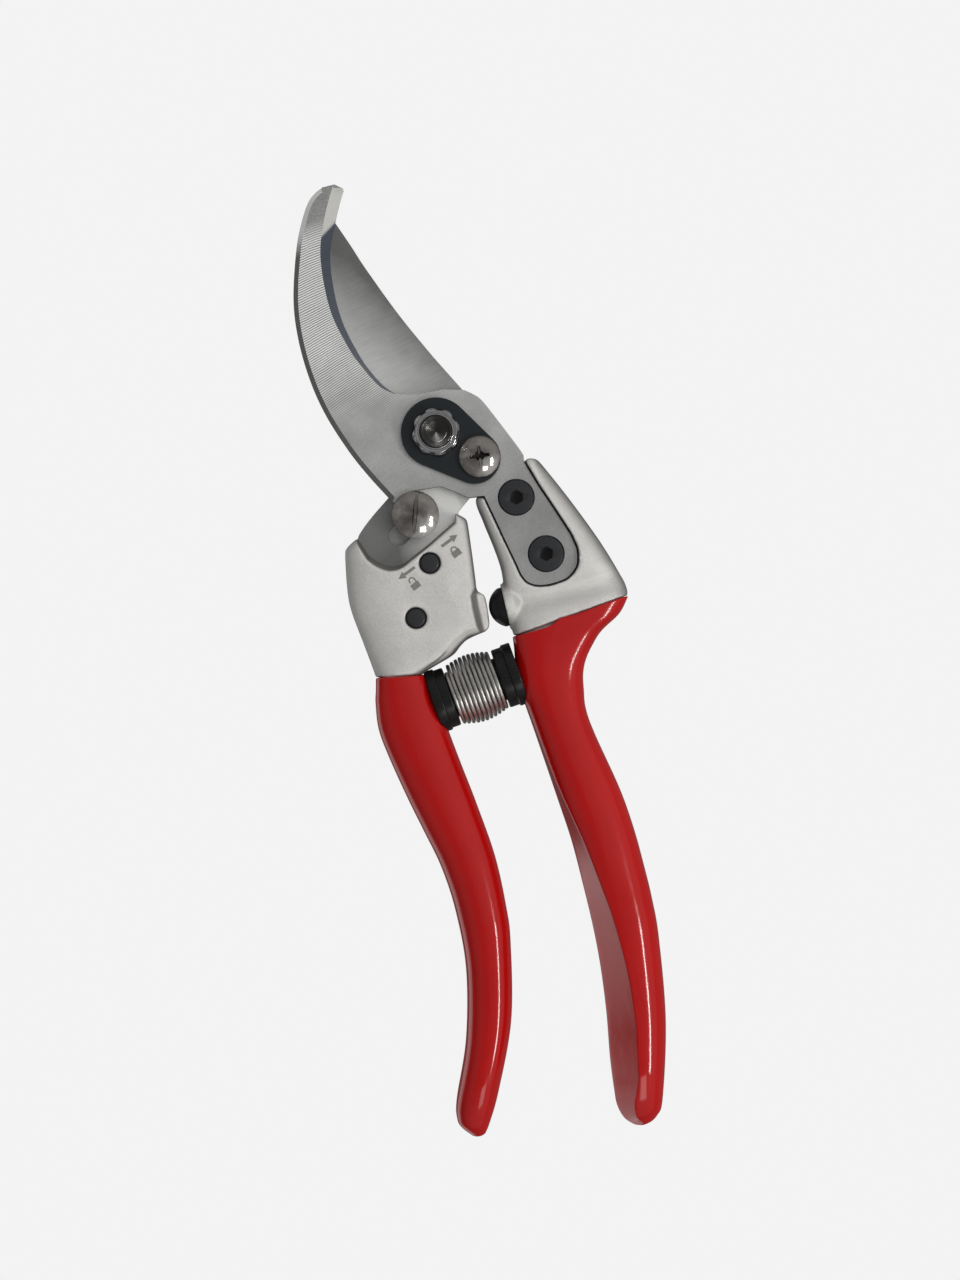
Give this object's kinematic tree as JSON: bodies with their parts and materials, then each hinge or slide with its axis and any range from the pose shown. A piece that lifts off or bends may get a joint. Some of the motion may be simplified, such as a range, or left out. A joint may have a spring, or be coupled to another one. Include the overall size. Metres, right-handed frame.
{
  "type": "pruning shears",
  "caption": "Bypass pruning shears with bolted steel hook plate and cutting blade, cast handles with dipped grips, coil spring and sliding lock catch.",
  "frame": {"origin": "on the pivot axis, at the flat back face of the bolt head that the closed shears rest on", "axes": "+Z out of the front face along the pivot axis, +Y towards the tip of the hook, +X towards the hook handle's side"},
  "size_m": [0.0584, 0.2003, 0.016],
  "materials": {
    "hook_steel": "ground steel with fine curved grinding lines and a sheared bevel",
    "blade_steel": "finely ground carbon steel",
    "cast_aluminium": "satin bead-blasted casting",
    "red_vinyl": "glossy dipped vinyl",
    "black_oxide_steel": "satin black oxide",
    "bolt_steel": "darkened turned steel",
    "bronze": "plain bronze",
    "chromed_steel": "bright chrome",
    "nickel_steel": "polished warm nickel",
    "black_plate": "satin blue-black",
    "black_rubber": "soft matte rubber",
    "black_plastic": "semi-matte black",
    "spring_wire": "drawn stainless wire"
  },
  "bodies": {
    "hook_side": {"hook_blade": "hook_steel", "hook_handle": "cast_aluminium", "hook_grip": "red_vinyl", "hook_screw_upper": "black_oxide_steel", "hook_screw_lower": "black_oxide_steel", "bumper": "black_rubber", "spring_cup_hook_side": "black_plastic", "pivot_bolt": "bolt_steel", "pivot_washer": "bronze", "pivot_nut": "chromed_steel", "nut_lock_plate": "black_plate", "nut_lock_screw": "nickel_steel"},
    "blade_side": {"cutting_blade": "blade_steel", "blade_handle": "cast_aluminium", "blade_grip": "red_vinyl", "blade_screw_upper": "black_oxide_steel", "blade_screw_lower": "black_oxide_steel", "spring_cup_blade_side": "black_plastic", "coil_spring": "spring_wire"},
    "lock_catch": {"lock_stud": "nickel_steel", "lock_slide_plate": "spring_wire", "lock_slider": "bolt_steel"}
  },
  "joints": [
    {"name": "pivot", "type": "hinge", "parent": "hook_side", "child": "blade_side", "pos_m": [0, 0, 0.006], "axis": [0, 0, -1], "range_deg": [0, 28], "stiffness_Nm_per_rad": 0.8, "springref_deg": 42.97, "deforming": ["coil_spring"]},
    {"name": "lock_slide", "type": "slide", "parent": "blade_side", "child": "lock_catch", "axis": [-0.8068, -0.5908, 0], "range_m": [0, 0.0054]}
  ],
  "couplings": [
    {"joint": "lock_slide", "follows": "pivot", "m_per_rad": 0.01085}
  ]
}
